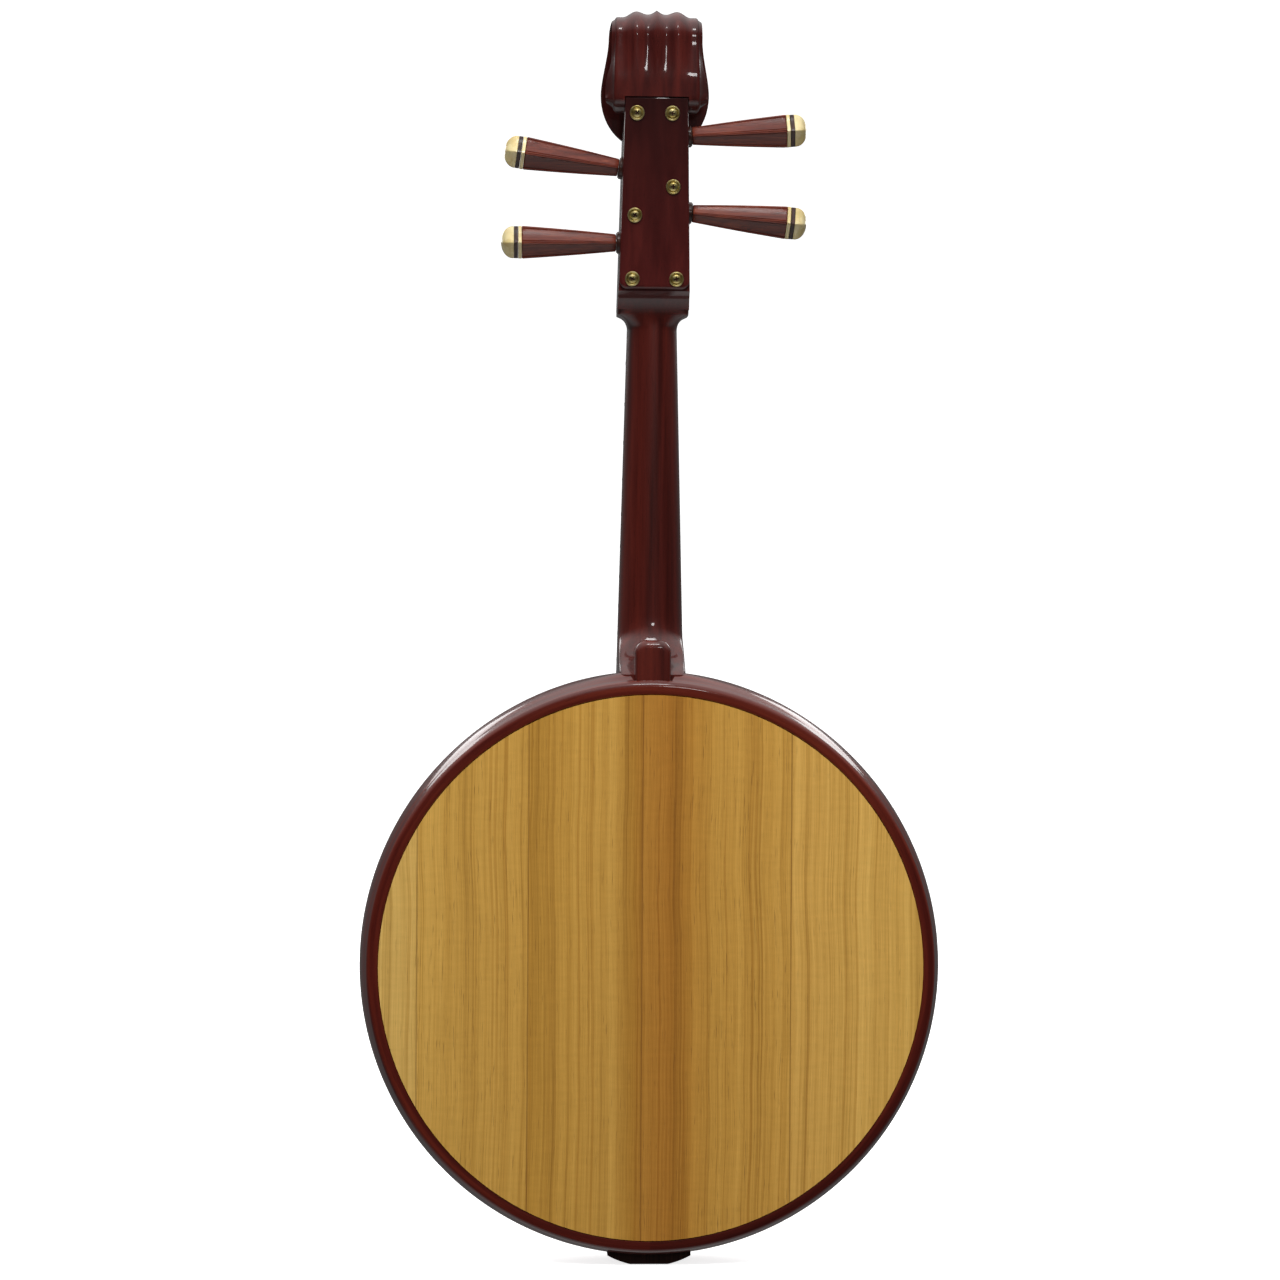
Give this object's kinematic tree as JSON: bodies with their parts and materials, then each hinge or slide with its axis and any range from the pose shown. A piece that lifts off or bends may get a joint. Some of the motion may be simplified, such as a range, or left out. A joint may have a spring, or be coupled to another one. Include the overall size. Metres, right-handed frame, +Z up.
{
  "type": "round-bodied fretted lute",
  "caption": "Round-bodied long-necked lute: barrel rim between two flat boards, fretted neck, pegbox with geared tuners under a screwed back cover, rolled head.",
  "frame": {"origin": "centre of the tail foot's flat underside", "axes": "+Z up the neck from the foot to the head, +Y to the back of the instrument, -Y to the strings, +X to the side of the first and third peg"},
  "size_m": [0.4198, 0.0786, 0.9017],
  "materials": {
    "rim_lacquer": "gloss",
    "neck_lacquer": "gloss",
    "head_lacquer": "gloss",
    "pegbox_lacquer": "gloss",
    "board_wood": "satin",
    "soundboard_wood": "satin",
    "brace_wood": "matte",
    "ebony": "satin",
    "peg_wood": "satin",
    "bridge_wood": "satin",
    "bone": "satin",
    "brass": "satin",
    "fret_metal": "polished",
    "steel": "satin",
    "string_bronze": "wound",
    "string_steel": "polished",
    "ring_inlay": "gloss"
  },
  "bodies": {
    "instrument": {"rim": "rim_lacquer", "back_board": "board_wood", "soundboard": "soundboard_wood", "back_braces": "brace_wood", "soundboard_braces": "brace_wood", "neck_block": "brace_wood", "tail_block": "brace_wood", "tail_foot": "ebony", "sound_hole_rings": "ring_inlay", "neck": "neck_lacquer", "fingerboard": "ebony", "frets": "fret_metal", "nut": "bone", "bridge": "bridge_wood", "saddle": "bone", "string_1": "string_bronze", "string_2": "string_bronze", "string_3": "string_steel", "string_4": "string_steel", "pegbox": "pegbox_lacquer", "pegbox_cover": "pegbox_lacquer", "cover_washers": "brass", "cover_screws": "brass", "gear_plate": "brass", "gear_plate_screws": "brass", "head_scroll": "head_lacquer", "peg_collars": "ebony"},
    "peg_1": {"peg_handle_1": "peg_wood", "peg_bone_ring_1": "bone", "peg_black_ring_1": "ebony", "peg_cap_1": "bone", "worm_shaft_1": "steel"},
    "post_1": {"worm_wheel_1": "brass", "string_post_1": "steel", "string_winding_1": "string_bronze"},
    "peg_2": {"peg_handle_2": "peg_wood", "peg_bone_ring_2": "bone", "peg_black_ring_2": "ebony", "peg_cap_2": "bone", "worm_shaft_2": "steel"},
    "post_2": {"worm_wheel_2": "brass", "string_post_2": "steel", "string_winding_2": "string_steel"},
    "peg_3": {"peg_handle_3": "peg_wood", "peg_bone_ring_3": "bone", "peg_black_ring_3": "ebony", "peg_cap_3": "bone", "worm_shaft_3": "steel"},
    "post_3": {"worm_wheel_3": "brass", "string_post_3": "steel", "string_winding_3": "string_bronze"},
    "peg_4": {"peg_handle_4": "peg_wood", "peg_bone_ring_4": "bone", "peg_black_ring_4": "ebony", "peg_cap_4": "bone", "worm_shaft_4": "steel"},
    "post_4": {"worm_wheel_4": "brass", "string_post_4": "steel", "string_winding_4": "string_steel"}
  },
  "joints": [
    {"name": "peg_1_turn", "type": "hinge", "parent": "instrument", "child": "peg_1", "pos_m": [0.02511, 0.00189, 0.73718], "axis": [1, -0.0007, -0.0052], "continuous": true},
    {"name": "post_1_turn", "type": "hinge", "parent": "instrument", "child": "post_1", "pos_m": [0.01007, 0.0006, 0.72805], "axis": [0, -0.9903, 0.1392], "continuous": true},
    {"name": "peg_2_turn", "type": "hinge", "parent": "instrument", "child": "peg_2", "pos_m": [-0.02465, 0.00493, 0.75887], "axis": [-0.9963, -0.0119, -0.0846], "continuous": true},
    {"name": "post_2_turn", "type": "hinge", "parent": "instrument", "child": "post_2", "pos_m": [-0.00891, 0.00382, 0.75096], "axis": [0, -0.9903, 0.1392], "continuous": true},
    {"name": "peg_3_turn", "type": "hinge", "parent": "instrument", "child": "peg_3", "pos_m": [0.02398, 0.00933, 0.79016], "axis": [0.9903, 0.0194, 0.1378], "continuous": true},
    {"name": "post_3_turn", "type": "hinge", "parent": "instrument", "child": "post_3", "pos_m": [0.00795, 0.00771, 0.77863], "axis": [0, -0.9903, 0.1392], "continuous": true},
    {"name": "peg_4_turn", "type": "hinge", "parent": "instrument", "child": "peg_4", "pos_m": [-0.02349, 0.01259, 0.81333], "axis": [-0.9979, 0.009, 0.0639], "continuous": true},
    {"name": "post_4_turn", "type": "hinge", "parent": "instrument", "child": "post_4", "pos_m": [-0.00662, 0.01114, 0.80302], "axis": [0, -0.9903, 0.1392], "continuous": true}
  ],
  "couplings": [
    {"joint": "post_1_turn", "follows": "peg_1_turn", "ratio": 0.071429},
    {"joint": "post_2_turn", "follows": "peg_2_turn", "ratio": -0.071429},
    {"joint": "post_3_turn", "follows": "peg_3_turn", "ratio": 0.071429},
    {"joint": "post_4_turn", "follows": "peg_4_turn", "ratio": -0.071429}
  ]
}
